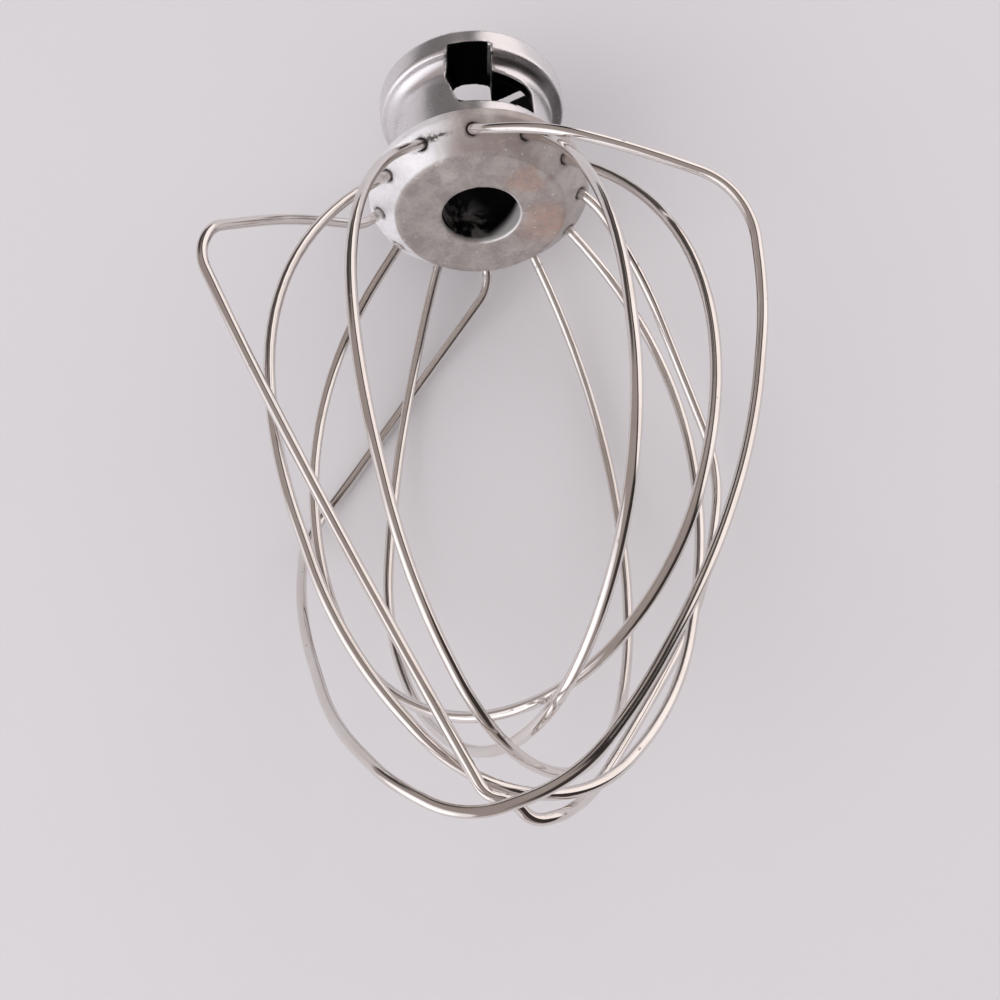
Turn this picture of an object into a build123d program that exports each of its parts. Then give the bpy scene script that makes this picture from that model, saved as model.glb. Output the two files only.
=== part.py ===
from build123d import *
import os
from collections import namedtuple
from math import atan2, cos, degrees, pi, radians, sin, tan

# Wire whisk of a stand mixer: a cast hub with a bayonet socket, and six loops of round wire.
# Millimetres. Z is the shaft axis and points up to the mixer, and the ring of wire holes is at Z = 0.
# Two of the loops are bent out of shape, and they are modelled as they were found.

# Wire and the holes that hold it
wire_diameter = 2.0
wire_clearance = 0.25
wire_seat = 3.5
hole_end_room = 0.5
loop_count = 6

# Outline of the hub, from its open face up to its flange
hub_height = 31.9
face_diameter = 32.8
rim_diameter = 43.6
bevel_height = 5.2
hole_height = 3.4
rim_edge = 1.8
rim_slope = 20.0
neck_diameter = 31.8
throat_reach = 1.7
throat_angle = 58.0
ledge_width = 1.3
flange_height = 5.5
bore_diameter = 15.4
collar_clearance = 0.2

# Roundings of that outline
bore_round = 0.4
face_round = 0.4
rim_round = 0.5
flare_round = 3.5
throat_share = 0.95
lip_round = 0.9
flange_round = 0.4

# Bayonet for the drive pin, twice round the shaft. Angles run from the front, which is -Y, towards +X.
track_low = 15.6
track_height = 8.4
track_diameter = 27.4
slot_turn = 66.0
slot_width = 8.0

# Side core of each bayonet: a window over the track, and above it the pocket that locks the pin
window_reach = 12.2
window_rise = 0.8
window_fall = 0.9
window_round = 2.2
sill_reach = 5.5
foot_reach = 2.2
foot_round = 1.8
shoulder_reach = 4.4
shoulder_drop = 0.4
shoulder_round = 1.5
pocket_height = 4.2
pocket_left = 3.5
pocket_right = 4.9
pocket_round = 2.0
flank_draft = 3.8
core_stop = 6.0
core_over = 1.0

# Cage of wire: each arm has a belly radius and height and a lean about the shaft, and each loop a tip
Arm = namedtuple("Arm", "belly height lean")
Even = namedtuple("Even", "first second tip")
even_loops = {
    2: Even(Arm(44.0, -49.0, 2.0), Arm(44.5, -60.0, 1.0), -118.0),
    3: Even(Arm(43.5, -48.5, 2.0), Arm(41.0, -48.0, -1.0), -123.0),
    5: Even(Arm(44.5, -54.0, -5.0), Arm(43.0, -50.0, -1.5), -108.0),
    6: Even(Arm(43.0, -58.0, 6.5), Arm(45.5, -66.0, -2.0), -113.5),
}
quarter_bends = 3
shoulder_share = 0.65
even_share = 0.5
arc_fill = 0.99
straight_end = 0.5

# Bent loops: the straight stubs at both holes, and the bends between them
Bent = namedtuple("Bent", "first_stub second_stub bends")
bent_loops = {
    1: Bent(7.0, 4.0, [
        (13.5, -29, -10.5), (29.5, -26.5, -16), (43.4, -22.2, -20.4), (47.8, -20.2, -28.3), (47.5, -16, -44),
        (42, -12.5, -68.5), (31.5, -11, -92), (17.5, -9.5, -113), (6.5, -10.5, -125.5), (-10, -10.5, -130),
        (-20.5, -10, -123.5), (-31, 1, -108), (-39.5, 20, -78), (-42, 40, -50), (-32.5, 39, -37.5),
        (-16.5, 32.5, -19)]),
    4: Bent(4.0, 4.0, [
        (-35, -16, -14), (-46, -31, -28.5), (-47.5, -31.5, -35), (-40, -27.5, -54), (-28, -20.5, -81.5),
        (-15.5, -13.5, -108), (-7, -7.5, -125.5), (-3, -6.5, -126), (-0.5, -3, -128.5), (4, -0.5, -127),
        (9.5, 12, -119.5), (19.5, 17.5, -104), (31, 26, -84.5), (39, 34.5, -62.5), (43, 35.5, -44.5),
        (37, 24.5, -27), (31, 12.5, -12)]),
}

# Heights and radii that follow from the sizes above
face_radius = face_diameter / 2
rim_radius = rim_diameter / 2
neck_radius = neck_diameter / 2
throat_radius = neck_radius + throat_reach
flange_radius = throat_radius + ledge_width
bore_radius = bore_diameter / 2
collar_radius = bore_radius + collar_clearance
bevel_run = rim_radius - face_radius
face_level = -hole_height
rim_level = face_level + bevel_height
rim_top = rim_level + rim_edge
neck_foot = rim_top + (rim_radius - neck_radius) * tan(radians(rim_slope))
hub_top = face_level + hub_height
ledge_level = hub_top - flange_height
throat_run = throat_reach / sin(radians(throat_angle))
throat_rise = throat_reach / tan(radians(throat_angle))
throat_round = throat_share * throat_run / tan(radians(throat_angle / 2))
track_floor = face_level + track_low
track_roof = track_floor + track_height
pocket_roof = track_roof + pocket_height
core_depth = flange_radius - core_stop
hole_count = 2 * loop_count
hole_pitch = 360 / hole_count
hole_diameter = wire_diameter + 2 * wire_clearance
hole_depth = wire_seat + hole_end_room
hole_tilt = atan2(bevel_run, bevel_height)
ring_radius = face_radius + hole_height * bevel_run / bevel_height


def hub_outline():
    """Section of the casting on one side of the shaft, with its corners rounded."""
    corners = [
        (bore_radius, face_level, bore_round),
        (face_radius, face_level, face_round),
        (rim_radius, rim_level, rim_round),
        (rim_radius, rim_top, rim_round),
        (neck_radius, neck_foot, flare_round),
        (neck_radius, ledge_level - throat_rise, throat_round),
        (throat_radius, ledge_level, 0),
        (flange_radius, ledge_level, lip_round),
        (flange_radius, hub_top, flange_round),
        (collar_radius, hub_top, bore_round),
        (collar_radius, track_floor, 0),
        (bore_radius, track_floor, 0),
    ]
    section = make_face(Polyline(*[(r, z) for r, z, _ in corners], close=True))
    for r, z, rounding in corners:
        if rounding:
            section = fillet(section.vertices().sort_by_distance((r, z))[0], rounding)
    return Plane.XZ * section


def hole_azimuth(number):
    """Direction of a wire hole about the shaft, in radians; hole 1 is at the front."""
    return radians(-90 - hole_pitch * (number - 1))


def hole_point(number, along):
    """Point on the axis of a wire hole, at a distance outward from the bevel."""
    radius = ring_radius + along * cos(hole_tilt)
    azimuth = hole_azimuth(number)
    return Vector(radius * cos(azimuth), radius * sin(azimuth), -along * sin(hole_tilt))


def wire_hole(number):
    """Blind round hole square to the bevel; it starts clear of the metal."""
    bottom = hole_point(number, -hole_depth)
    mouth = hole_point(number, hole_depth)
    axis = Plane(bottom, z_dir=mouth - bottom)
    height = (mouth - bottom).length
    return axis * Cylinder(hole_diameter / 2, height, align=(Align.CENTER, Align.CENTER, Align.MIN))


def sector(diameter, start, end, low, high):
    """Slice of a cylinder about the shaft, between two angles from the front and two levels."""
    about_shaft = (Align.NONE, Align.NONE, Align.MIN)
    wedge = Cylinder(diameter / 2, high - low, arc_size=end - start, align=about_shaft)
    return Pos(0, 0, low) * Rot(0, 0, start - 90) * wedge


def entry_slot():
    """Straight slot from the top of the hub, by which the drive pin comes down to the track."""
    height = hub_top + core_over - track_floor
    reach = track_diameter / 2
    slot = Box(reach, slot_width, height, align=(Align.MIN, Align.CENTER, Align.MIN))
    slot &= Cylinder(reach, height, align=(Align.CENTER, Align.CENTER, Align.MIN))
    return Pos(0, 0, track_floor) * Rot(0, 0, slot_turn - 90) * slot


def window_core():
    """Side core that leaves the window and the pocket; the flank that locks the pin is drafted."""
    corners = [
        (-foot_reach, track_floor, foot_round),
        (sill_reach, track_floor, 0),
        (window_reach, track_floor + window_rise, 0),
        (window_reach, track_roof - window_fall, window_round),
        (pocket_right, track_roof, 0),
        (pocket_right, pocket_roof, 0),
        (-pocket_left, pocket_roof, pocket_round),
        (-shoulder_reach, track_roof - shoulder_drop, shoulder_round),
    ]
    shape = make_face(Polyline(*[(-x, z) for x, z, _ in corners], close=True))
    for x, z, rounding in corners:
        if rounding:
            shape = fillet(shape.vertices().sort_by_distance((-x, z))[0], rounding)
    outside = Plane((0, -flange_radius, 0), x_dir=(-1, 0, 0), z_dir=(0, 1, 0))
    inner = pocket_right - core_depth * tan(radians(flank_draft))
    flank = [(pocket_right, -flange_radius), (pocket_right, -core_stop), (inner, -core_stop)]
    flank_plan = Plane.XY.offset(track_roof) * make_face(Polyline(*flank, close=True))
    core = extrude(outside * shape, core_depth)
    return core - extrude(flank_plan, pocket_height + core_over, dir=(0, 0, 1))


def make_hub():
    """The casting: outline, wire holes, and the two halves of the bayonet."""
    hub = revolve(hub_outline(), Axis.Z)
    for number in range(1, hole_count + 1):
        hub -= wire_hole(number)
    half = sector(track_diameter, 0, slot_turn, track_floor, track_roof)
    half += entry_slot()
    half += window_core()
    for turn in (0, 180):
        hub -= Rot(0, 0, turn) * half
    return hub


def arm_bends(number, arm, tip):
    """Bends of one arm of an even loop: the shoulder, then a polygon round a quarter of an oval."""
    azimuth = hole_azimuth(number) + radians(arm.lean)
    step = pi / 2 / quarter_bends
    bends = [hole_point(number, (arm.belly - ring_radius) / cos(hole_tilt))]
    for k in range(quarter_bends):
        angle = (k + 0.5) * step
        radius = arm.belly * cos(angle) / cos(step / 2)
        drop = (arm.height - tip) * sin(angle) / cos(step / 2)
        bends.append(Vector(radius * cos(azimuth), radius * sin(azimuth), arm.height - drop))
    return bends


def loop_route(number):
    """Bend points of a loop from end to end, and the share of each run that its first bend may use."""
    far = number + loop_count
    if number in even_loops:
        loop = even_loops[number]
        first = arm_bends(number, loop.first, loop.tip)
        second = arm_bends(far, loop.second, loop.tip)
        bends = first + second[::-1]
        half = [shoulder_share] + [even_share] * (quarter_bends - 1)
        shares = half + [even_share] + [1 - share for share in half[::-1]]
    else:
        loop = bent_loops[number]
        bends = [hole_point(number, loop.first_stub)]
        bends += [Vector(*point) for point in loop.bends]
        bends += [hole_point(far, loop.second_stub)]
        shares = [even_share] * (len(bends) - 1)
    points = [hole_point(number, -wire_seat)] + bends + [hole_point(far, -wire_seat)]
    straight = wire_seat + straight_end
    first_share = straight / (points[1] - points[0]).length
    last_share = 1 - straight / (points[-1] - points[-2]).length
    return points, [first_share] + shares + [last_share]


def bend_radii(points, shares):
    """Radius of each bend: as large as its own shares of the two runs beside it allow."""
    radii = []
    for i in range(1, len(points) - 1):
        before = points[i] - points[i - 1]
        after = points[i + 1] - points[i]
        reach = arc_fill * min(before.length * (1 - shares[i - 1]), after.length * shares[i])
        radii.append(reach / tan(radians(before.get_angle(after)) / 2))
    return radii


def make_loop(number):
    """One wire, swept along straight runs joined by tangent arcs."""
    points, shares = loop_route(number)
    path = FilletPolyline(*points, radius=bend_radii(points, shares))
    section = Plane(path @ 0, z_dir=path % 0) * Circle(wire_diameter / 2)
    loop = sweep(section, path=path)
    print(f"wire_loop_{number}: length {path.length:.1f}, volume over section times length "
          f"{loop.volume / (section.area * path.length):.4f}")
    return loop


os.makedirs("parts", exist_ok=True)
export_step(make_hub(), "parts/hub.step")
for loop_number in range(1, loop_count + 1):
    export_step(make_loop(loop_number), f"parts/wire_loop_{loop_number}.step")
print(f"wire holes tilt {degrees(hole_tilt):.1f} degrees below level, on a ring of radius {ring_radius:.2f}")
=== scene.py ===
from collections import namedtuple
from math import atan2, cos, pi, radians, sin, tan

import bmesh
import bpy
from bpy.props import FloatProperty, FloatVectorProperty, IntProperty, PointerProperty
from mathutils import Matrix, Vector, noise


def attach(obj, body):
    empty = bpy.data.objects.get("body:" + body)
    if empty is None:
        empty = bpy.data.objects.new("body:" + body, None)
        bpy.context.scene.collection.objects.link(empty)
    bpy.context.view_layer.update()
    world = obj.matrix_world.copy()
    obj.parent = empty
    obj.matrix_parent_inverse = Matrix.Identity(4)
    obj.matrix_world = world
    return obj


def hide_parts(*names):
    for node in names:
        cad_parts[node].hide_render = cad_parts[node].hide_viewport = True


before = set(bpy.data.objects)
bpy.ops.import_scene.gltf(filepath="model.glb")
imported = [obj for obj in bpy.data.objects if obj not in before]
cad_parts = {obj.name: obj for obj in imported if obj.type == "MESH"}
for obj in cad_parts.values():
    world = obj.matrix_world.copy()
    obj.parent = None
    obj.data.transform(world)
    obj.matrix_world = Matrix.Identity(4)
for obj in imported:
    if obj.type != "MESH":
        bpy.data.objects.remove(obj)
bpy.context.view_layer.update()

bl_info = {
    "name": "Wire whisk",
    "version": (1, 0, 0),
    "blender": (4, 5, 0),
    "location": "View3D > Sidebar > Whisk",
    "description": "Builds the cast hub, the bent wire loops and the table of a stand mixer whisk",
    "category": "Add Mesh",
}

MM = 0.001

# Hub: the ring of wire holes, in millimetres
LOOPS = 6
HOLES = 2 * LOOPS
FACE_RADIUS = 16.4
BEVEL_RUN = 5.4
BEVEL_HEIGHT = 5.2
HOLE_HEIGHT = 3.4
WIRE_SEAT = 3.5
HOLE_TILT = atan2(BEVEL_RUN, BEVEL_HEIGHT)
RING_RADIUS = FACE_RADIUS + HOLE_HEIGHT * BEVEL_RUN / BEVEL_HEIGHT

# Cast skin: its softening, and its waves and pits in millimetres; only the ring is pitted
MERGE_GAP = 0.001
SOFTENING = 0.5
SOFTENING_ROUNDS = 2
WAVES_PER_MM = 0.25
PITS_PER_MM = 0.9
PIT_SHIFT = Vector((7.3, 1.9, 4.1))
PIT_THRESHOLD = 0.55
PITTED_BELOW = 5.0

# Wire: each arm of an even loop has a belly radius, a height and a lean, and each loop a tip
Arm = namedtuple("Arm", "belly height lean")
Even = namedtuple("Even", "first second tip")
EVEN_LOOPS = {
    2: Even(Arm(44.0, -49.0, 2.0), Arm(44.5, -60.0, 1.0), -118.0),
    3: Even(Arm(43.5, -48.5, 2.0), Arm(41.0, -48.0, -1.0), -123.0),
    5: Even(Arm(44.5, -54.0, -5.0), Arm(43.0, -50.0, -1.5), -108.0),
    6: Even(Arm(43.0, -58.0, 6.5), Arm(45.5, -66.0, -2.0), -113.5),
}
QUARTER_BENDS = 3
SHOULDER_SHARE = 0.65
EVEN_SHARE = 0.5
ARC_FILL = 0.99
STRAIGHT_END = 0.5

# The two loops that were bent out of shape: the stubs at both holes, and the bends between them
Bent = namedtuple("Bent", "first_stub second_stub bends")
BENT_LOOPS = {
    1: Bent(7.0, 4.0, [
        (13.5, -29, -10.5), (29.5, -26.5, -16), (43.4, -22.2, -20.4), (47.8, -20.2, -28.3),
        (47.5, -16, -44), (42, -12.5, -68.5), (31.5, -11, -92), (17.5, -9.5, -113),
        (6.5, -10.5, -125.5), (-10, -10.5, -130), (-20.5, -10, -123.5), (-31, 1, -108),
        (-39.5, 20, -78), (-42, 40, -50), (-32.5, 39, -37.5), (-16.5, 32.5, -19)]),
    4: Bent(4.0, 4.0, [
        (-35, -16, -14), (-46, -31, -28.5), (-47.5, -31.5, -35), (-40, -27.5, -54),
        (-28, -20.5, -81.5), (-15.5, -13.5, -108), (-7, -7.5, -125.5), (-3, -6.5, -126),
        (-0.5, -3, -128.5), (4, -0.5, -127), (9.5, 12, -119.5), (19.5, 17.5, -104),
        (31, 26, -84.5), (39, 34.5, -62.5), (43, 35.5, -44.5), (37, 24.5, -27), (31, 12.5, -12)]),
}

# Attributes that the wire's chain and its finished mesh carry
BEND_RADIUS = "bend_radius"
DRAWN_STRAIGHT = "drawn_straight"

# Wire finish: how fine its patterns are per metre, across and along the wire, and its soiled ends
DRAW_LINES = (6000.0, 6000.0, 45.0)
GREASE_SMEARS = (500.0, 500.0, 130.0)
NICKS = (420.0, 420.0, 260.0)
WIRE_END_RADIUS = (22.5, 20.5)
WIRE_END_LEVEL = (-4.0, -1.5)
WARM_STEEL = (0.74, 0.70, 0.67)
GREASE = (0.62, 0.55, 0.51)

# Casting finish: zones in millimetres, each from where it fades out to where it is full, and tones
RING_ZONE = (4.6, 3.0)
FACE_ZONE = (-2.6, -3.2)
# Painted light: where the left of the bevel is painted near white
LIT_SIDE_ZONE = (-4.0, -12.0)
LIT_SIDE_TURN = 0.2
# Tarnish and painted shade: where the front of the bevel is darker
TARNISH_AND_SHADE_ZONE = (-2.0, -12.0)
TARNISH_AND_SHADE_TURN = 0.35
RAGGEDNESS = 11.0
PALE_FILM = (0.50, 0.46, 0.44)
BEVEL_SHEEN = (0.68, 0.64, 0.63)
# Painted light: near white for the lit left side of the bevel
PAINTED_LIT_BEVEL = (0.92, 0.915, 0.945)
# Tarnish and painted shade, for the front of the bevel
TARNISH_AND_SHADE = (0.36, 0.295, 0.28)
PALE_CLOUD = (0.66, 0.62, 0.60)
PALE_SPECK = (0.74, 0.71, 0.69)
# Grime and painted shade in the groove under the flange
GRIME_AND_SHADE = (0.05, 0.045, 0.045)
# Painted light for the lit crescent at the mouth of the bore
LIT_BORE_MOUTH = (0.80, 0.78, 0.78)
# Painted shade, black inside the bore and the bayonet openings
DEEP_SHADE = (0.005, 0.005, 0.006)

# Pink stains on the right of the open face
Stain = namedtuple("Stain", "place size")
STAINS = (Stain((9.2, -8.3, -3.4), 5.2), Stain((12.8, 3.6, -3.4), 7.4))
STAIN_CORE = 0.35

# Groove under the flange, with grime and painted shade on the right
GROOVE_FOOT = (19.0, 20.4)
GROOVE_HEAD = (23.3, 23.0)
GROOVE_RADIUS = (16.1, 16.5)
GROOVE_RIGHT = (4.0, 9.0)
GROOVE_TURN = -0.3

# Deposit round the wire holes, and the smear that runs from one of them along the bevel
CRUST_ZONE = (2.1, 1.3)
CRUST_RAGGEDNESS = 0.25
SMEAR_HOLE = 2
SMEAR_LEVEL = 0.1
SMEAR_RAGGEDNESS = 1.6
SMEAR_TAPER = 0.07
SMEAR_WIDTH = (0.8, 0.2)
SMEAR_START = (-3.0, -1.0)
SMEAR_END = (8.2, 4.5)

# Bayonet openings, painted black inside as shade: the pin track, the pocket with its slanted side, and
# the flank that locks the pin, which stays out of the shade
SideLine = namedtuple("SideLine", "level reach slope")
OPENING_FOOT = (11.7, 12.2)
TRACK_HEAD = (28.4, 28.0)
TRACK_RADIUS = (15.6, 15.3)
POCKET_HEAD = (25.2, 25.0)
POCKET_DEPTH = (6.0, 8.0)
POCKET_RIGHT = (-0.3, -0.6)
POCKET_LEFT = (-0.2, 0.1)
POCKET_SIDES = (SideLine(12.2, 2.2, 0.275), SideLine(20.2, 4.4, -0.196))
FLANK_SIDE = 4.9
FLANK_FRONT = 18.9
FLANK_SLOPE = tan(radians(3.8))
FLANK_BACK = (-0.6, -0.3)
FLANK_FACE = (0.5, 0.2)
FLANK_FOOT = (20.6, 21.2)
FLANK_DEPTH = (9.5, 12.5)

# Bore: its wall, the painted shade inside it, lighter where light reaches in on the right, its pale
# patches on the left, and the painted lit crescent at its mouth
BORE_WALL = (8.2, 7.9)
BORE_MOUTH = (-2.8, -1.8)
BORE_DARK = (-4.6, -1.2)
BORE_LIGHT_SLOPE = 0.55
BORE_PATCH_LEVEL = (10.0, 0.0)
BORE_PATCH_SIDE = (3.0, -2.0)
# Painted light: the lit crescent at the mouth of the bore, on the right
LIT_MOUTH_SIDE = (1.0, 4.0)
LIT_MOUTH_TURN = 0.4
LIT_MOUTH_LEVEL = (4.0, 2.0)

# Camera of the photograph and the table under the whisk, in the frame of the part
CAMERA_PLACE = Vector((1.53, -219.95, -206.80)) * MM
CAMERA_RIGHT = Vector((0.9956, 0.0581, -0.0735))
CAMERA_UP = Vector((0.0932, -0.5272, 0.8446))
CAMERA_BACK = Vector((0.0103, -0.8478, -0.5303))
CAMERA_LENS = 54.0
CAMERA_SENSOR = 36.0
CAMERA_CLIP = 0.01
TABLE_SLOPE = radians(18.0)
TABLE_POINT = Vector((0.0, 18.9, 28.5)) * MM
TABLE_NORMAL = Vector((0.0, -cos(TABLE_SLOPE), -sin(TABLE_SLOPE)))
TABLE_WIDTH = 1.2
TABLE_CLOUD = (0.62, 0.595, 0.61)
CAGE_MIDDLE = Vector((0.0, 0.0, -50.0)) * MM
ACROSS = Vector((1.0, 0.0, 0.0))
UPWARD = TABLE_NORMAL.cross(ACROSS)

# Studio room round the whisk, in degrees: dim walls, dark corners and the soft lights on two sides
Glow = namedtuple("Glow", "turn lift spread soft tone")
WALLS = (0.37, 0.318, 0.30)
ROOM = (
    Glow(115.0, 14.0, 19.0, 7.0, (0.07, 0.062, 0.06)),
    Glow(-36.0, 27.0, 29.0, 6.0, (0.05, 0.04, 0.037)),
    Glow(36.0, 10.0, 55.0, 4.0, (0.03, 0.025, 0.024)),
    Glow(36.0, 10.0, 42.0, 2.0, (1.22, 1.13, 1.10)),
    Glow(215.0, 15.0, 45.0, 3.0, (1.02, 0.98, 1.0)),
    Glow(215.0, 12.0, 32.0, 5.0, (1.50, 1.48, 1.52)),
)
ROOM_RADIUS = 0.8
ROOM_FOOT = -2.0
ROOM_COLUMNS = 72
ROOM_ROWS = 24

# Lamps on the same two sides, in degrees, watts and metres, and the even light from all round
Lamp = namedtuple("Lamp", "name turn lift power tone")
LAMPS = (
    Lamp("near_light", 212.0, 26.0, 15.0, (1.0, 0.98, 0.98)),
    Lamp("far_light", 38.0, 26.0, 8.0, (1.0, 0.95, 0.93)),
)
LAMP_WIDTH = 2.2
LAMP_HEIGHT = 1.4
LAMP_DISTANCE = 1.6
EVEN_LIGHT = (1.0, 0.98, 0.985)
EVEN_LIGHT_STRENGTH = 0.78
BACKDROP = (0.68, 0.655, 0.68)


class WhiskSizes(bpy.types.PropertyGroup):
    """Sizes of the wire and of the casting's surface."""
    wire_diameter: FloatProperty(
        name="Wire diameter", description="Thickness of the round wire", default=2.0 * MM,
        min=0.5 * MM, max=4.0 * MM, precision=5, unit="LENGTH")
    wire_sides: IntProperty(
        name="Wire sides", description="Faces around the wire", default=28, min=8, max=64)
    bend_steps: IntProperty(
        name="Bend steps", description="Rings of faces along each bend", default=14, min=2, max=40)
    cast_grain: FloatProperty(
        name="Casting grain",
        description="Face size of the casting; its edges are softened by about as much",
        default=0.35 * MM, min=0.3 * MM, max=1.0 * MM, precision=5, unit="LENGTH")
    cast_wave: FloatProperty(
        name="Casting wave", description="How far the cast skin wanders from a true surface",
        default=0.05 * MM, min=0.0, max=0.3 * MM, precision=5, unit="LENGTH")
    pit_depth: FloatProperty(
        name="Pit depth", description="Depth of the pits in the cast skin",
        default=0.2 * MM, min=0.0, max=0.5 * MM, precision=5, unit="LENGTH")


class WhiskColours(bpy.types.PropertyGroup):
    """Colours of the metals, of what has settled on them and of the table."""
    aluminium: FloatVectorProperty(
        name="Aluminium", description="Clean casting of the hub's spool",
        subtype="COLOR", min=0.0, max=1.0, default=(0.76, 0.74, 0.755))
    oxide: FloatVectorProperty(
        name="Oxide", description="Dull film on the casting",
        subtype="COLOR", min=0.0, max=1.0, default=(0.34, 0.305, 0.295))
    stain: FloatVectorProperty(
        name="Stain", description="Pink stain on the open face of the hub",
        subtype="COLOR", min=0.0, max=1.0, default=(0.52, 0.335, 0.27))
    residue: FloatVectorProperty(
        name="Residue", description="Brown deposit where wire and casting meet",
        subtype="COLOR", min=0.0, max=1.0, default=(0.06, 0.045, 0.038))
    steel: FloatVectorProperty(
        name="Steel", description="Polished wire",
        subtype="COLOR", min=0.0, max=1.0, default=(0.82, 0.79, 0.77))
    table: FloatVectorProperty(
        name="Table", description="Pale table under the whisk",
        subtype="COLOR", min=0.0, max=1.0, default=(0.655, 0.635, 0.66))


class Value:
    """An output socket in a node tree; arithmetic on it adds Math nodes to that tree."""

    def __init__(self, tree, socket):
        self.tree = tree
        self.socket = socket

    @classmethod
    def node(cls, tree, kind, settings=None, sockets=None, out=0):
        """Add a node, apply its settings, then fill or link its sockets, and give one of its outputs."""
        node = tree.nodes.new(kind)
        for name, setting in (settings or {}).items():
            if name == "captured":
                for title, data_type in setting:
                    node.capture_items.new(data_type, title)
            else:
                setattr(node, name, setting)
        for key, value in (sockets or {}).items():
            if isinstance(value, Value):
                tree.links.new(value.socket, node.inputs[key])
            else:
                node.inputs[key].default_value = value
        return cls(tree, node.outputs[out]) if len(node.outputs) else None

    def output(self, key):
        """Another output of the same node."""
        return Value(self.tree, self.socket.node.outputs[key])

    def math(self, operation, *others):
        """A Math node with this value first."""
        terms = dict(enumerate((self,) + others))
        return Value.node(self.tree, "ShaderNodeMath", {"operation": operation}, terms)

    def __add__(self, other):
        return self.math("ADD", other)

    def __sub__(self, other):
        return self.math("SUBTRACT", other)

    def __rsub__(self, other):
        return Value.node(self.tree, "ShaderNodeMath", {"operation": "SUBTRACT"}, {0: other, 1: self})

    def __mul__(self, other):
        return self.math("MULTIPLY", other)

    __radd__ = __add__
    __rmul__ = __mul__


def step(value, low, high):
    """0 below low and 1 above high, or the other way round where low is the larger."""
    return Value.node(
        value.tree, "ShaderNodeMapRange", {"interpolation_type": "SMOOTHSTEP"},
        {"Value": value, "From Min": low, "From Max": high, "To Min": 0.0, "To Max": 1.0})


def zone(value, edge):
    """0 at the first place of an edge in millimetres, and 1 at its second."""
    return step(value, edge[0] * MM, edge[1] * MM)


def scaled(vector, factors):
    """A vector with each part multiplied by its own factor."""
    return Value.node(
        vector.tree, "ShaderNodeVectorMath", {"operation": "MULTIPLY"}, {0: vector, 1: factors})


def cloud(vector, scale, detail=3.0, roughness=0.55, distortion=0.0):
    """Soft noise from 0 to 1."""
    return Value.node(
        vector.tree, "ShaderNodeTexNoise", {"noise_dimensions": "3D"},
        {"Vector": vector, "Scale": scale, "Detail": detail, "Roughness": roughness,
         "Distortion": distortion})


def cells(vector, scale):
    """Distance to the nearest of a scatter of points."""
    return Value.node(
        vector.tree, "ShaderNodeTexVoronoi", {"feature": "F1"},
        {"Vector": vector, "Scale": scale, "Randomness": 1.0})


def rgba(tone):
    """A colour for a socket: a link stays as it is, and a plain tone is made opaque."""
    return tone if isinstance(tone, Value) else (*tone, 1.0)


def blend(amount, first, second):
    """One colour turning into another."""
    return Value.node(
        amount.tree, "ShaderNodeMix", {"data_type": "RGBA"},
        {0: amount, 6: rgba(first), 7: rgba(second)}, out=2)


def distance(vector, place):
    """How far a point is from a fixed place."""
    return Value.node(
        vector.tree, "ShaderNodeVectorMath", {"operation": "DISTANCE"},
        {0: vector, 1: place}, out="Value")


def from_shaft(place):
    """How far a point is from the axis of the shaft."""
    return distance(scaled(place, (1.0, 1.0, 0.0)), (0.0, 0.0, 0.0))


def bump(height, strength, depth):
    """A normal that follows a height."""
    return Value.node(
        height.tree, "ShaderNodeBump", None,
        {"Height": height, "Strength": strength, "Distance": depth})


def new_material(name):
    """An empty material, and its tree."""
    material = bpy.data.materials.new(name)
    material.use_nodes = True
    material.node_tree.nodes.clear()
    return material, material.node_tree


def surface(tree, shader):
    """Link a shader to the material's output."""
    Value.node(tree, "ShaderNodeOutputMaterial", None, {"Surface": shader})


def object_place(tree):
    """Object coordinates of the piece."""
    return Value.node(tree, "ShaderNodeTexCoord", out="Object")


def hole_azimuth(number):
    """Direction of a wire hole about the shaft; hole 1 is at the front."""
    return radians(-90 - 360 / HOLES * (number - 1))


def hole_point(number, along):
    """Point on the axis of a wire hole, at a distance outward from the bevel."""
    radius = RING_RADIUS + along * cos(HOLE_TILT)
    azimuth = hole_azimuth(number)
    return Vector((radius * cos(azimuth), radius * sin(azimuth), -along * sin(HOLE_TILT)))


def arm_bends(number, arm, tip):
    """Bends of one arm of an even loop: the shoulder, then a polygon round a quarter of an oval."""
    azimuth = hole_azimuth(number) + radians(arm.lean)
    turn = pi / 2 / QUARTER_BENDS
    bends = [hole_point(number, (arm.belly - RING_RADIUS) / cos(HOLE_TILT))]
    for k in range(QUARTER_BENDS):
        angle = (k + 0.5) * turn
        radius = arm.belly * cos(angle) / cos(turn / 2)
        drop = (arm.height - tip) * sin(angle) / cos(turn / 2)
        bends.append(Vector((radius * cos(azimuth), radius * sin(azimuth), arm.height - drop)))
    return bends


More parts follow.
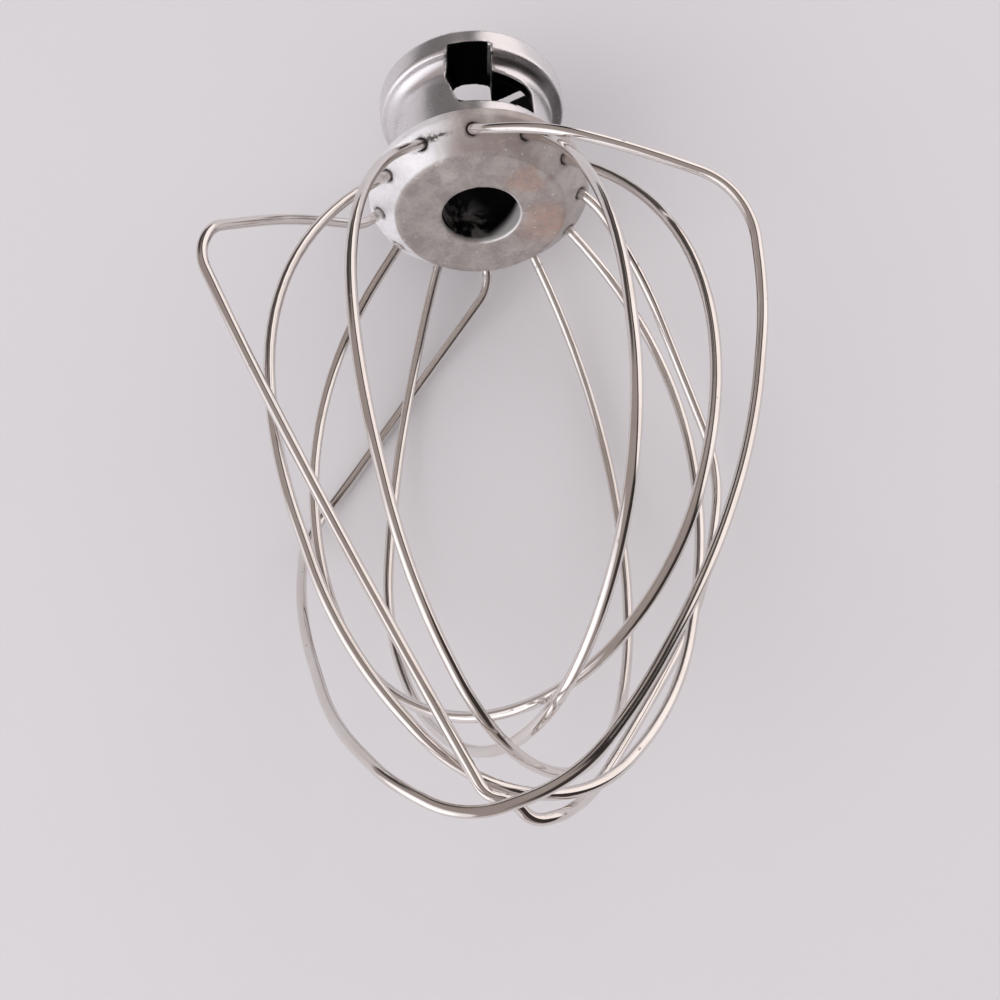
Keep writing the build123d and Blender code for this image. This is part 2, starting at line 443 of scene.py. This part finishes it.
def loop_route(number):
    """Bend points of a loop from end to end, and the share of each run that its first bend may use."""
    far = number + LOOPS
    if number in EVEN_LOOPS:
        loop = EVEN_LOOPS[number]
        first = arm_bends(number, loop.first, loop.tip)
        second = arm_bends(far, loop.second, loop.tip)
        bends = first + second[::-1]
        half = [SHOULDER_SHARE] + [EVEN_SHARE] * (QUARTER_BENDS - 1)
        shares = half + [EVEN_SHARE] + [1 - share for share in half[::-1]]
    else:
        loop = BENT_LOOPS[number]
        bends = [hole_point(number, loop.first_stub)]
        bends += [Vector(point) for point in loop.bends]
        bends += [hole_point(far, loop.second_stub)]
        shares = [EVEN_SHARE] * (len(bends) - 1)
    points = [hole_point(number, -WIRE_SEAT)] + bends + [hole_point(far, -WIRE_SEAT)]
    straight = WIRE_SEAT + STRAIGHT_END
    first_share = straight / (points[1] - points[0]).length
    last_share = 1 - straight / (points[-1] - points[-2]).length
    return points, [first_share] + shares + [last_share]


def bend_radii(points, shares):
    """Radius of each bend: as large as its own shares of the two runs beside it allow."""
    radii = [0.0]
    for i in range(1, len(points) - 1):
        before = points[i] - points[i - 1]
        after = points[i + 1] - points[i]
        reach = ARC_FILL * min(before.length * (1 - shares[i - 1]), after.length * shares[i])
        radii.append(reach / tan(before.angle(after) / 2))
    return radii + [0.0]


def wire_tree():
    """Geometry Nodes tree that bends a round wire along a chain of points."""
    tree = bpy.data.node_groups.new("Bent wire", "GeometryNodeTree")
    for name, kind in (("Chain", "Geometry"), ("Wire Diameter", "Float"), ("Sides", "Int"),
                       ("Steps per Bend", "Int"), ("Finish", "Material")):
        tree.interface.new_socket(name, in_out="INPUT", socket_type=f"NodeSocket{kind}")
    tree.interface.new_socket("Wire", in_out="OUTPUT", socket_type="NodeSocketGeometry")
    given = Value.node(tree, "NodeGroupInput", out="Chain")
    radius = given.output("Wire Diameter") * 0.5

    # The chain with its bends rounded, and the length along it
    chain = Value.node(tree, "GeometryNodeMeshToCurve", None, {"Mesh": given})
    bend = Value.node(
        tree, "GeometryNodeInputNamedAttribute", {"data_type": "FLOAT"}, {"Name": BEND_RADIUS})
    line = Value.node(
        tree, "GeometryNodeFilletCurve", {"mode": "POLY"},
        {"Curve": chain, "Count": given.output("Steps per Bend"), "Radius": bend,
         "Limit Radius": True})
    length = Value.node(tree, "GeometryNodeSplineParameter", out="Length")
    line = Value.node(
        tree, "GeometryNodeCaptureAttribute", {"captured": [("Along", "FLOAT")], "domain": "POINT"},
        {"Geometry": line, "Along": length})

    # The round section, and the share of a turn around it
    ring = Value.node(
        tree, "GeometryNodeCurvePrimitiveCircle", {"mode": "RADIUS"},
        {"Resolution": given.output("Sides"), "Radius": radius}, out="Curve")
    around = Value.node(tree, "GeometryNodeSplineParameter", out="Factor")
    ring = Value.node(
        tree, "GeometryNodeCaptureAttribute", {"captured": [("Around", "FLOAT")], "domain": "POINT"},
        {"Geometry": ring, "Around": around})

    # The wire, which keeps the place of each point on the wire drawn straight
    tube = Value.node(
        tree, "GeometryNodeCurveToMesh", None,
        {"Curve": line, "Profile Curve": ring, "Fill Caps": True})
    angle = ring.output("Around") * (2 * pi)
    straightened = Value.node(
        tree, "ShaderNodeCombineXYZ", None,
        {"X": angle.math("COSINE") * radius, "Y": angle.math("SINE") * radius,
         "Z": line.output("Along")})
    tube = Value.node(
        tree, "GeometryNodeStoreNamedAttribute", {"data_type": "FLOAT_VECTOR", "domain": "POINT"},
        {"Geometry": tube, "Name": DRAWN_STRAIGHT, "Value": straightened})
    tube = Value.node(
        tree, "GeometryNodeSetShadeSmooth", None, {"Geometry": tube, "Shade Smooth": True})
    tube = Value.node(tree, "GeometryNodeRealizeInstances", None, {"Geometry": tube})
    tube = Value.node(
        tree, "GeometryNodeSetMaterial", None,
        {"Geometry": tube, "Material": given.output("Finish")})
    Value.node(tree, "NodeGroupOutput", None, {"Wire": tube})
    return tree


def set_inputs(modifier, values):
    """Set a modifier's inputs by the identifiers of their sockets."""
    ports = modifier.node_group.interface.items_tree
    for name, value in values.items():
        port = next(item for item in ports if item.in_out == "INPUT" and item.name == name)
        modifier[port.identifier] = value


def plain_mesh(obj):
    """Turn an object with modifiers into a plain mesh."""
    evaluated = obj.evaluated_get(bpy.context.evaluated_depsgraph_get())
    mesh = bpy.data.meshes.new_from_object(evaluated)
    mesh.name = obj.name
    obj.modifiers.clear()
    old = obj.data
    obj.data = mesh
    bpy.data.meshes.remove(old)
    if not mesh.polygons:
        raise RuntimeError(f"{obj.name} came out empty")


def add_object(name, data):
    """A new object in the scene."""
    obj = bpy.data.objects.new(name, data)
    bpy.context.scene.collection.objects.link(obj)
    return obj


def settle(obj, node):
    """Let a finished piece stand for its CAD node."""
    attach(obj, "root")
    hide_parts(node)


def steel_finish(colours):
    """Polished drawn wire: fine draw lines, smears of grease, and brown deposit near the hub."""
    material, tree = new_material("polished_wire")
    place = object_place(tree)
    straight = Value.node(
        tree, "ShaderNodeAttribute",
        {"attribute_type": "GEOMETRY", "attribute_name": DRAWN_STRAIGHT}, out="Vector")
    lines = cloud(scaled(straight, DRAW_LINES), 1.0, detail=2.0)
    smears = cloud(scaled(straight, GREASE_SMEARS), 1.0, detail=4.0, distortion=0.6)
    nicks = step(cells(scaled(straight, NICKS), 1.0), 0.16, 0.07)
    tint = cloud(place, 28.0, detail=2.0)

    # Deposit on the ends at the hub, and in nicks where grease has gathered
    z = Value.node(tree, "ShaderNodeSeparateXYZ", None, {0: place}, out="Z")
    near_hub = zone(from_shaft(place), WIRE_END_RADIUS) * zone(z, WIRE_END_LEVEL)
    crust = near_hub * step(cloud(place, 900.0, detail=4.0), 0.42, 0.7) * 0.5
    soiled = (crust + nicks * step(smears, 0.5, 0.62) * 0.75).math("MINIMUM", 1.0)

    steel = blend(step(tint, 0.35, 0.65), colours.steel, WARM_STEEL)
    steel = blend(step(smears, 0.45, 0.75) * 0.35, steel, GREASE)
    height = lines * 0.5 + smears * 0.5
    shader = Value.node(
        tree, "ShaderNodeBsdfPrincipled", None,
        {"Base Color": blend(soiled, steel, colours.residue),
         "Metallic": 1.0 - soiled * 0.7,
         "Roughness": 0.04 + smears * 0.08 + lines * 0.03 + soiled * 0.35,
         "Normal": bump(height, 0.25, 0.04 * MM)})
    surface(tree, shader)
    return material


# A point of the casting, its parts along the axes, and its distance from the shaft
HubPlace = namedtuple("HubPlace", "point x y z radial")


def hub_place(tree):
    """The point of the casting that is shaded."""
    point = object_place(tree)
    x = Value.node(tree, "ShaderNodeSeparateXYZ", None, {0: point}, out="X")
    return HubPlace(point, x, x.output("Y"), x.output("Z"), from_shaft(point))


def stain_marks(at, ragged):
    """Ragged blotches round the places of the stains."""
    marks = None
    for stain in STAINS:
        spot = [part * MM for part in stain.place]
        mark = zone(distance(at.point, spot) + ragged, (stain.size, stain.size * STAIN_CORE))
        marks = mark if marks is None else marks.math("MAXIMUM", mark)
    return marks


def groove_grime_and_shade(at):
    """Grime and painted shade in the groove under the flange, on the right."""
    level = zone(at.z, GROOVE_FOOT) * zone(at.z, GROOVE_HEAD) * zone(at.radial, GROOVE_RADIUS)
    return level * zone(at.x + at.y * GROOVE_TURN, GROOVE_RIGHT)


def hole_crust(at, ragged):
    """A ragged patch round each wire hole."""
    sector = at.y.math("ARCTAN2", at.x) * (HOLES / (2 * pi))
    sideways = (sector - sector.math("ROUND")) * (2 * pi / HOLES) * at.radial
    outward = at.radial - RING_RADIUS * MM
    gap = (sideways * sideways + outward * outward + at.z * at.z).math("SQRT")
    return zone(gap + ragged * CRUST_RAGGEDNESS, CRUST_ZONE)


def hole_smear(at, grain):
    """A ragged line that runs from a wire hole along the bevel and tapers."""
    along = (at.y.math("ARCTAN2", at.x) - hole_azimuth(SMEAR_HOLE)) * at.radial
    off_line = (at.z - SMEAR_LEVEL * MM).math("ABSOLUTE")
    off_line = off_line + (grain - 0.5) * (SMEAR_RAGGEDNESS * MM) + along * SMEAR_TAPER
    return zone(off_line, SMEAR_WIDTH) * zone(along, SMEAR_START) * zone(along, SMEAR_END)


def opening_shade(at):
    """Painted shade inside the two bayonet openings, all but the flank that locks the pin."""
    forward = at.y.math("ABSOLUTE")
    across = at.x * (at.y.math("SIGN") * -1.0)
    flank_gap = across - FLANK_SIDE * MM + (FLANK_FRONT * MM - forward) * FLANK_SLOPE
    flank = zone(flank_gap, FLANK_BACK) * zone(flank_gap, FLANK_FACE)
    flank = flank * zone(at.z, FLANK_FOOT) * zone(forward, FLANK_DEPTH)
    above = zone(at.z, OPENING_FOOT)
    track = above * zone(at.z, TRACK_HEAD) * zone(at.radial, TRACK_RADIUS)
    low, high = [(at.z - side.level * MM) * side.slope + side.reach * MM for side in POCKET_SIDES]
    pocket = above * zone(at.z, POCKET_HEAD) * zone(forward, POCKET_DEPTH)
    pocket = pocket * zone(flank_gap, POCKET_RIGHT)
    pocket = pocket * zone(across + low.math("MINIMUM", high), POCKET_LEFT)
    return (track * (1.0 - flank)).math("MAXIMUM", pocket)


def bore_shade(at, mottle):
    """Painted shade deep in the bore, lighter on the right where light reaches in, with paler patches on
    its left.
    """
    depth = zone(at.radial, BORE_WALL) * zone(at.z, BORE_MOUTH)
    depth = depth * zone(at.z - at.x * BORE_LIGHT_SLOPE, BORE_DARK)
    patches = step(mottle, 0.42, 0.62) * zone(at.z, BORE_PATCH_LEVEL) * zone(at.x, BORE_PATCH_SIDE)
    return depth * (1.0 - patches * 0.45)


def lit_bore_crescent(at):
    """Painted light: a pale crescent at the mouth of the bore, on the right, where light reaches in."""
    side = zone(at.x + at.y * LIT_MOUTH_TURN, LIT_MOUTH_SIDE)
    return zone(at.radial, BORE_WALL) * side * zone(at.z, LIT_MOUTH_LEVEL)


def casting_finish(colours):
    """Stained die casting: dull film, mottle, specks, pink stain and brown deposit at the holes, with
    painted light on the left of the bevel and at the mouth of the bore, and painted shade in front, in
    the groove, in the bore and in the openings.
    """
    material, tree = new_material("stained_casting")
    at = hub_place(tree)
    mottle = cloud(at.point, 260.0, detail=5.0, roughness=0.6, distortion=0.4)
    grain = cloud(at.point, 1900.0, detail=4.0, roughness=0.65)
    tone = step(mottle * 0.65 + grain * 0.35, 0.36, 0.66)
    ragged = (mottle - 0.5) * (RAGGEDNESS * MM)

    # The ring and the open face are dull and stained, the spool above them is cleaner and smoother
    ring = zone(at.z, RING_ZONE)
    open_face = zone(at.z, FACE_ZONE)
    bevel = ring * (1.0 - open_face)
    base = blend(ring, colours.aluminium, blend(tone, colours.oxide, PALE_FILM))
    base = blend(bevel * 0.3, base, BEVEL_SHEEN)

    # Painted light makes the left of the bevel near white, where the lamp falls; in front the bevel is
    # tarnished and also darkened with painted shade
    lit_side = zone(at.x + at.y * LIT_SIDE_TURN, LIT_SIDE_ZONE) * bevel
    # Tarnish and painted shade darken the front of the bevel, mottled
    front = zone(at.y + at.x * TARNISH_AND_SHADE_TURN, TARNISH_AND_SHADE_ZONE) * bevel * (1.0 - lit_side)
    tarnish_and_shade = front * step(cloud(at.point, 90.0) + mottle * 0.5, 0.95, 0.6)
    base = blend(lit_side * (0.75 + tone * 0.25), base, PAINTED_LIT_BEVEL)
    base = blend(tarnish_and_shade * 0.8, base, TARNISH_AND_SHADE)

    # Pale clouds and specks on the ring, and pink stain on the open face
    clouds = step(cloud(at.point, 150.0, detail=4.0, distortion=0.8), 0.56, 0.72) * ring
    stains = stain_marks(at, ragged) * step(grain + mottle * 0.6, 0.5, 0.85) * open_face
    specks = step(cells(at.point, 620.0), 0.2, 0.08) * step(cloud(at.point, 170.0), 0.42, 0.6)
    base = blend(clouds * 0.5, base, PALE_CLOUD)
    base = blend(stains * (0.45 + tone * 0.35), base, colours.stain)
    base = blend(specks * ring * 0.6, base, PALE_SPECK)

    # Grime and painted shade in the groove, and brown deposit at the wire holes
    base = blend(groove_grime_and_shade(at) * (0.7 + mottle * 0.3), base, GRIME_AND_SHADE)
    crust = hole_crust(at, ragged) * step(mottle, 0.3, 0.6) * 0.6
    crust = crust.math("MAXIMUM", hole_smear(at, grain) * bevel * 0.95)
    base = blend(crust, base, colours.residue)

    # Painted light in a pale crescent at the mouth of the bore, and painted shade, black, inside the
    # bore and the openings
    base = blend(lit_bore_crescent(at), base, LIT_BORE_MOUTH)
    inside = opening_shade(at).math("MAXIMUM", bore_shade(at, mottle))
    base = blend(inside, base, DEEP_SHADE)

    rough = 0.22 + ring * 0.22 + mottle * 0.12 + crust * 0.15 - specks * 0.08
    metallic = (0.9 - ring * 0.35 - crust * 0.4) * (1.0 - inside) + inside
    height = (grain * 0.6 + mottle * 0.4) * (0.1 + ring * 0.9)
    shader = Value.node(
        tree, "ShaderNodeBsdfPrincipled", None,
        {"Base Color": base, "Metallic": metallic, "Roughness": rough + inside * 0.3,
         "Normal": bump(height, 0.35, 0.12 * MM)})
    surface(tree, shader)
    return material


def table_finish(colours):
    """Pale table top, seen only from above."""
    material, tree = new_material("pale_table")
    behind = Value.node(tree, "ShaderNodeNewGeometry", out="Backfacing")
    faint = cloud(object_place(tree), 14.0, detail=2.0)
    top = blend(step(faint, 0.3, 0.7) * 0.12, colours.table, TABLE_CLOUD)
    paint = Value.node(
        tree, "ShaderNodeBsdfPrincipled", None, {"Base Color": top, "Roughness": 0.6})
    clear = Value.node(tree, "ShaderNodeBsdfTransparent")
    surface(tree, Value.node(tree, "ShaderNodeMixShader", None, {0: behind, 1: paint, 2: clear}))
    return material


def toward(turn, lift):
    """Direction from the whisk: degrees from the right round to the far side, and above the table."""
    level = ACROSS * cos(radians(turn)) + UPWARD * sin(radians(turn))
    return level * cos(radians(lift)) + TABLE_NORMAL * sin(radians(lift))


def room_finish():
    """What polished wire mirrors: a dim room with a soft light on either side."""
    material, tree = new_material("studio_room")
    offset = Value.node(
        tree, "ShaderNodeVectorMath", {"operation": "SUBTRACT"},
        {0: object_place(tree), 1: CAGE_MIDDLE})
    heading = Value.node(tree, "ShaderNodeVectorMath", {"operation": "NORMALIZE"}, {0: offset})
    seen = WALLS
    for glow in ROOM:
        facing = Value.node(
            tree, "ShaderNodeVectorMath", {"operation": "DOT_PRODUCT"},
            {0: heading, 1: toward(glow.turn, glow.lift)}, out="Value")
        outer = cos(radians(glow.spread + glow.soft))
        inner = cos(radians(glow.spread - glow.soft))
        seen = blend(step(facing, outer, inner), seen, glow.tone)
    surface(tree, Value.node(tree, "ShaderNodeEmission", None, {"Color": seen, "Strength": 1.0}))
    return material


def room_mesh(name):
    """A dome over the table."""
    corners = []
    for row in range(ROOM_ROWS + 1):
        lift = ROOM_FOOT + (90.0 - ROOM_FOOT) * row / ROOM_ROWS
        for column in range(ROOM_COLUMNS):
            corners.append(CAGE_MIDDLE + toward(360.0 * column / ROOM_COLUMNS, lift) * ROOM_RADIUS)
    faces = []
    for row in range(ROOM_ROWS):
        lower = row * ROOM_COLUMNS
        upper = lower + ROOM_COLUMNS
        for column in range(ROOM_COLUMNS):
            following = (column + 1) % ROOM_COLUMNS
            faces.append((lower + column, lower + following, upper + following, upper + column))
    mesh = bpy.data.meshes.new(name)
    mesh.from_pydata(corners, [], faces)
    return mesh


def table_mesh(name):
    """A flat square under the cage, facing the whisk."""
    middle = CAGE_MIDDLE - TABLE_NORMAL * (CAGE_MIDDLE - TABLE_POINT).dot(TABLE_NORMAL)
    half_across = ACROSS * (TABLE_WIDTH / 2)
    half_upward = UPWARD * (TABLE_WIDTH / 2)
    corners = [middle - half_across - half_upward, middle + half_across - half_upward,
               middle + half_across + half_upward, middle - half_across + half_upward]
    mesh = bpy.data.meshes.new(name)
    mesh.from_pydata(corners, [], [(0, 1, 2, 3)])
    return mesh


def hang_lamps():
    """Soft lamps on both sides, which the wire doesn't mirror."""
    for lamp in LAMPS:
        light = bpy.data.lights.new(lamp.name, "AREA")
        light.shape = "RECTANGLE"
        light.size = LAMP_WIDTH
        light.size_y = LAMP_HEIGHT
        light.energy = lamp.power
        light.color = lamp.tone
        hung = add_object(lamp.name, light)
        heading = toward(lamp.turn, lamp.lift)
        hung.location = CAGE_MIDDLE + heading * LAMP_DISTANCE
        hung.rotation_euler = heading.to_track_quat("Z", "Y").to_euler()
        hung.visible_glossy = False


def surroundings():
    """Even light from all round, and a pale backdrop where it is seen or mirrored."""
    world = bpy.data.worlds.new("room")
    world.use_nodes = True
    tree = world.node_tree
    tree.nodes.clear()
    path = Value.node(tree, "ShaderNodeLightPath", out="Is Camera Ray")
    shown = path + path.output("Is Glossy Ray") + path.output("Is Transmission Ray")
    backdrop = Value.node(
        tree, "ShaderNodeBackground", None, {"Color": rgba(BACKDROP), "Strength": 1.0})
    light = Value.node(
        tree, "ShaderNodeBackground", None,
        {"Color": rgba(EVEN_LIGHT), "Strength": EVEN_LIGHT_STRENGTH})
    mixed = Value.node(
        tree, "ShaderNodeMixShader", None,
        {0: shown.math("MINIMUM", 1.0), 1: light, 2: backdrop})
    Value.node(tree, "ShaderNodeOutputWorld", None, {"Surface": mixed})
    return world


def photo_camera():
    """Camera at the photograph's viewing angle."""
    camera = bpy.data.cameras.new("photo_view")
    camera.lens = CAMERA_LENS
    camera.sensor_width = CAMERA_SENSOR
    camera.clip_start = CAMERA_CLIP
    held = add_object("photo_view", camera)
    turned = Matrix((CAMERA_RIGHT, CAMERA_UP, CAMERA_BACK)).transposed().to_4x4()
    held.matrix_world = Matrix.Translation(CAMERA_PLACE) @ turned
    return held


class WHISK_OT_wire_loops(bpy.types.Operator):
    """Bend the six wire loops along their chains of points"""
    bl_idname = "whisk.wire_loops"
    bl_label = "Wire loops"
    bl_options = {"REGISTER", "UNDO"}

    def execute(self, context):
        sizes = context.scene.whisk_sizes
        finish = steel_finish(context.scene.whisk_colours)
        tree = wire_tree()
        for number in range(1, LOOPS + 1):
            points, shares = loop_route(number)
            name = f"bent_wire_{number}"
            mesh = bpy.data.meshes.new(name)
            links = [(i, i + 1) for i in range(len(points) - 1)]
            mesh.from_pydata([point * MM for point in points], links, [])
            radii = mesh.attributes.new(BEND_RADIUS, "FLOAT", "POINT")
            for entry, radius in zip(radii.data, bend_radii(points, shares)):
                entry.value = radius * MM
            obj = add_object(name, mesh)
            modifier = obj.modifiers.new("Bent wire", "NODES")
            modifier.node_group = tree
            set_inputs(modifier, {
                "Wire Diameter": sizes.wire_diameter, "Sides": sizes.wire_sides,
                "Steps per Bend": sizes.bend_steps, "Finish": finish})
            plain_mesh(obj)
            settle(obj, f"wire_loop_{number}")
        return {"FINISHED"}


class WHISK_OT_cast_hub(bpy.types.Operator):
    """Cast the hub: soften the edges of the solid and give it a slightly wavy, pitted skin"""
    bl_idname = "whisk.cast_hub"
    bl_label = "Cast hub"
    bl_options = {"REGISTER", "UNDO"}

    def execute(self, context):
        sizes = context.scene.whisk_sizes
        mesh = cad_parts["hub"].data.copy()
        shape = bmesh.new()
        shape.from_mesh(mesh)
        bmesh.ops.remove_doubles(shape, verts=shape.verts, dist=MERGE_GAP * MM)
        shape.to_mesh(mesh)
        shape.free()

        # The skin is worked in millimetres, and the finished mesh brought back to metres
        mesh.transform(Matrix.Scale(1 / MM, 4))
        obj = add_object("cast_hub", mesh)
        skin = obj.modifiers.new("Skin", "REMESH")
        skin.mode = "VOXEL"
        skin.voxel_size = sizes.cast_grain / MM
        soften = obj.modifiers.new("Soften", "SMOOTH")
        soften.factor = SOFTENING
        soften.iterations = SOFTENING_ROUNDS
        plain_mesh(obj)
        mesh = obj.data
        moved = []
        for vertex in mesh.vertices:
            lift = noise.noise(vertex.co * WAVES_PER_MM) * sizes.cast_wave
            if vertex.co.z < PITTED_BELOW:
                pit = noise.noise(vertex.co * PITS_PER_MM + PIT_SHIFT)
                lift -= max(0.0, pit - PIT_THRESHOLD) / (1 - PIT_THRESHOLD) * sizes.pit_depth
            moved.extend(vertex.co + vertex.normal * (lift / MM))
        mesh.vertices.foreach_set("co", moved)
        mesh.transform(Matrix.Scale(MM, 4))
        mesh.polygons.foreach_set("use_smooth", [True] * len(mesh.polygons))
        mesh.materials.clear()
        mesh.materials.append(casting_finish(context.scene.whisk_colours))
        settle(obj, "hub")
        return {"FINISHED"}


class WHISK_OT_stage(bpy.types.Operator):
    """Set up the table, the light, the surroundings and the camera"""
    bl_idname = "whisk.stage"
    bl_label = "Stage"
    bl_options = {"REGISTER", "UNDO"}

    def execute(self, context):
        scene = context.scene
        scene.view_settings.view_transform = "Standard"
        table = add_object("table", table_mesh("table"))
        table.data.materials.append(table_finish(scene.whisk_colours))
        room = add_object("studio_room", room_mesh("studio_room"))
        room.data.materials.append(room_finish())
        room.visible_camera = False
        room.visible_diffuse = False
        room.visible_shadow = False
        hang_lamps()
        scene.world = surroundings()
        scene.camera = photo_camera()
        return {"FINISHED"}


class WHISK_PT_build(bpy.types.Panel):
    """Steps that build the whisk, and the values that they use"""
    bl_idname = "WHISK_PT_build"
    bl_label = "Wire whisk"
    bl_space_type = "VIEW_3D"
    bl_region_type = "UI"
    bl_category = "Whisk"

    def draw(self, context):
        for group in (context.scene.whisk_sizes, context.scene.whisk_colours):
            for name in group.__annotations__:
                self.layout.prop(group, name)
        for operator in OPERATORS:
            self.layout.operator(operator.bl_idname)


OPERATORS = (WHISK_OT_wire_loops, WHISK_OT_cast_hub, WHISK_OT_stage)
CLASSES = (WhiskSizes, WhiskColours) + OPERATORS + (WHISK_PT_build,)


def register():
    for cls in CLASSES:
        bpy.utils.register_class(cls)
    bpy.types.Scene.whisk_sizes = PointerProperty(type=WhiskSizes)
    bpy.types.Scene.whisk_colours = PointerProperty(type=WhiskColours)


def unregister():
    del bpy.types.Scene.whisk_colours
    del bpy.types.Scene.whisk_sizes
    for cls in reversed(CLASSES):
        bpy.utils.unregister_class(cls)


def main():
    register()
    bpy.ops.whisk.wire_loops()
    bpy.ops.whisk.cast_hub()
    bpy.ops.whisk.stage()


if __name__ == "__main__":
    main()
